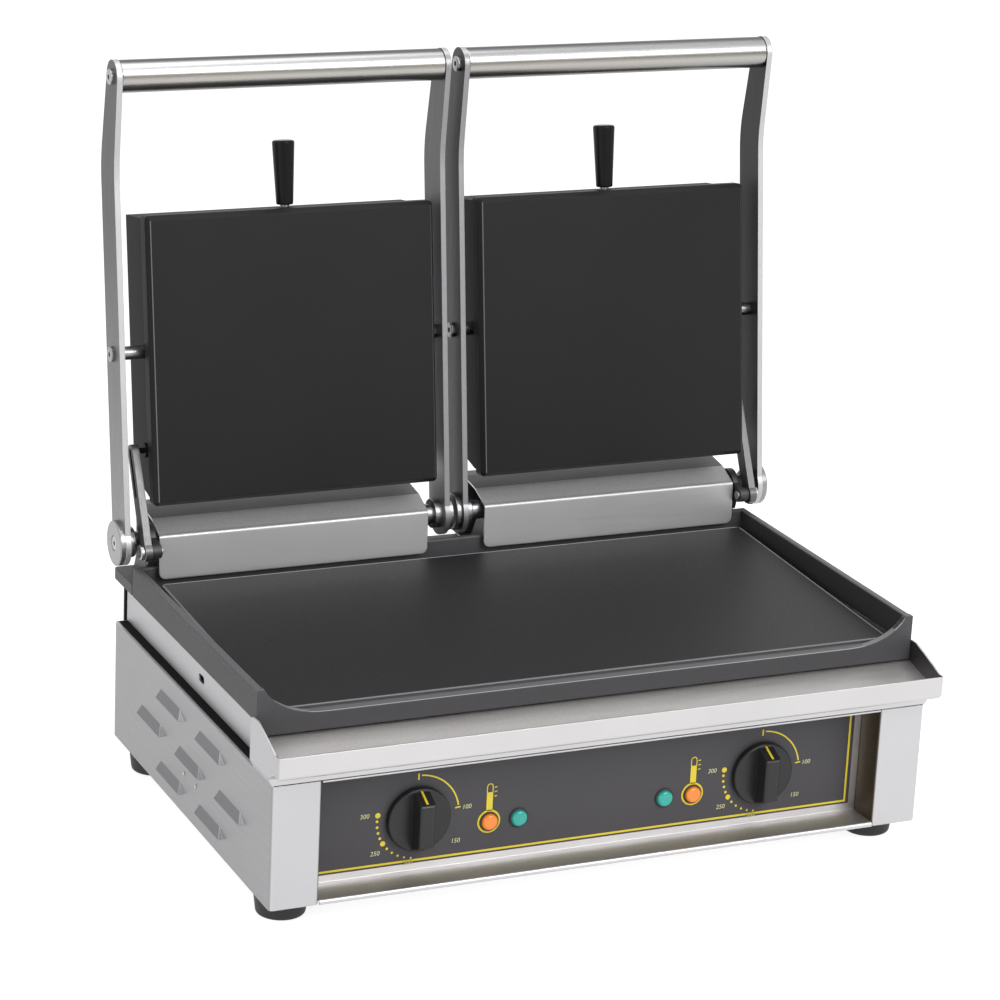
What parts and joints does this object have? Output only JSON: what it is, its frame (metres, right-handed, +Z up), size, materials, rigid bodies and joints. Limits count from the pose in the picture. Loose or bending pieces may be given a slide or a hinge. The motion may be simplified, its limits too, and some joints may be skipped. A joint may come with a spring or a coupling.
{
  "type": "contact grill",
  "caption": "Electric contact grill: heated lower plate with side rims, sprung lids with pivoting heated upper plates, handle bars and a drip gutter.",
  "frame": {"origin": "on the table under the middle of the whole part with both lids open", "axes": "+X to the right of a user in front, +Y to the back, +Z up"},
  "size_m": [0.636, 0.4566, 0.6375],
  "materials": {
    "case_steel": "satin stainless sheet",
    "seal_rubber": "matt black strip",
    "guard_steel": "satin stainless sheet",
    "fascia_print": "printed film, charcoal with yellow markings",
    "black_cover": "black powder coat",
    "cast_plate": "enamelled black",
    "dark_base": "enamelled dark grey",
    "bracket_steel": "plain plate",
    "spring_steel": "oiled",
    "element_tube": "heat tinted",
    "clamp_steel": "zinc plated",
    "insulation": "mineral fibre mat",
    "moulding": "heat resistant moulding",
    "lens_orange": "translucent",
    "lens_green": "translucent",
    "gland_plastic": "nylon",
    "rubber_feet": "matt black",
    "bright_screws": "bright plated",
    "arm_steel": "satin plate",
    "bar_steel": "polished bar",
    "turned_steel": "turned",
    "cover_black": "black powder coat",
    "grip_plastic": "black",
    "knob_plastic": "black",
    "stay_steel": "satin"
  },
  "bodies": {
    "base": {"side_panel_left": "case_steel", "side_panel_right": "case_steel", "bottom_pan": "case_steel", "back_panel": "case_steel", "fascia_panel": "case_steel", "fascia_film": "fascia_print", "upper_body": "case_steel", "rear_cover": "black_cover", "front_gutter": "case_steel", "heat_shield": "case_steel", "guard_left": "guard_steel", "guard_right": "guard_steel", "lower_plate": "cast_plate", "hinge_base": "dark_base", "hinge_brackets": "bracket_steel", "torsion_springs": "spring_steel", "lower_elements": "element_tube", "element_clamps": "clamp_steel", "insulation_pad": "insulation", "thermostats": "moulding", "terminal_block": "moulding", "lamp_housings": "moulding", "lenses_orange": "lens_orange", "lenses_green": "lens_green", "cord_gland": "gland_plastic", "feet": "rubber_feet", "case_screws": "bright_screws", "side_rivets": "bright_screws", "stay_pivot_pins": "bright_screws", "ledge_seals": "seal_rubber"},
    "left_lid": {"left_arm_outer": "arm_steel", "left_arm_inner": "arm_steel", "left_handle_bar": "bar_steel", "left_hinge_shaft": "turned_steel", "left_shaft_collars": "turned_steel", "left_hinge_discs": "turned_steel", "left_lid_screws": "bright_screws", "left_pivot_studs": "turned_steel"},
    "left_plate": {"left_upper_plate": "cast_plate", "left_plate_cover": "cover_black", "left_upper_element": "element_tube", "left_grip": "grip_plastic", "left_grip_rod": "turned_steel"},
    "left_stay_bar": {"left_stay": "stay_steel"},
    "left_dial": {"left_knob": "knob_plastic"},
    "right_lid": {"right_arm_outer": "arm_steel", "right_arm_inner": "arm_steel", "right_handle_bar": "bar_steel", "right_hinge_shaft": "turned_steel", "right_shaft_collars": "turned_steel", "right_hinge_discs": "turned_steel", "right_lid_screws": "bright_screws", "right_pivot_studs": "turned_steel"},
    "right_plate": {"right_upper_plate": "cast_plate", "right_plate_cover": "cover_black", "right_upper_element": "element_tube", "right_grip": "grip_plastic", "right_grip_rod": "turned_steel"},
    "right_stay_bar": {"right_stay": "stay_steel"},
    "right_dial": {"right_knob": "knob_plastic"}
  },
  "joints": [
    {"name": "left_lid_hinge", "type": "hinge", "parent": "base", "child": "left_lid", "pos_m": [0, 0.14568, 0.219], "axis": [1, 0, 0], "range_deg": [0, 98]},
    {"name": "left_plate_tilt", "type": "hinge", "parent": "left_lid", "child": "left_plate", "pos_m": [0, 0.17018, 0.383], "axis": [1, 0, 0], "range_deg": [0, 4]},
    {"name": "left_stay_hinge", "type": "hinge", "parent": "base", "child": "left_stay_bar", "pos_m": [0, 0.12068, 0.217], "axis": [1, 0, 0], "range_deg": [0, 111]},
    {"name": "left_knob_turn", "type": "hinge", "parent": "base", "child": "left_dial", "pos_m": [-0.16, -0.18132, 0.071], "axis": [0, 1, 0], "range_deg": [0, 280]},
    {"name": "right_lid_hinge", "type": "hinge", "parent": "base", "child": "right_lid", "pos_m": [0, 0.14568, 0.219], "axis": [1, 0, 0], "range_deg": [0, 98]},
    {"name": "right_plate_tilt", "type": "hinge", "parent": "right_lid", "child": "right_plate", "pos_m": [0, 0.17018, 0.383], "axis": [1, 0, 0], "range_deg": [0, 4]},
    {"name": "right_stay_hinge", "type": "hinge", "parent": "base", "child": "right_stay_bar", "pos_m": [0, 0.12068, 0.217], "axis": [1, 0, 0], "range_deg": [0, 111]},
    {"name": "right_knob_turn", "type": "hinge", "parent": "base", "child": "right_dial", "pos_m": [0.16, -0.18132, 0.071], "axis": [0, 1, 0], "range_deg": [0, 280]}
  ],
  "couplings": [
    {"joint": "left_stay_hinge", "follows": "left_lid_hinge", "ratio": 1.13},
    {"joint": "right_stay_hinge", "follows": "right_lid_hinge", "ratio": 1.13}
  ]
}
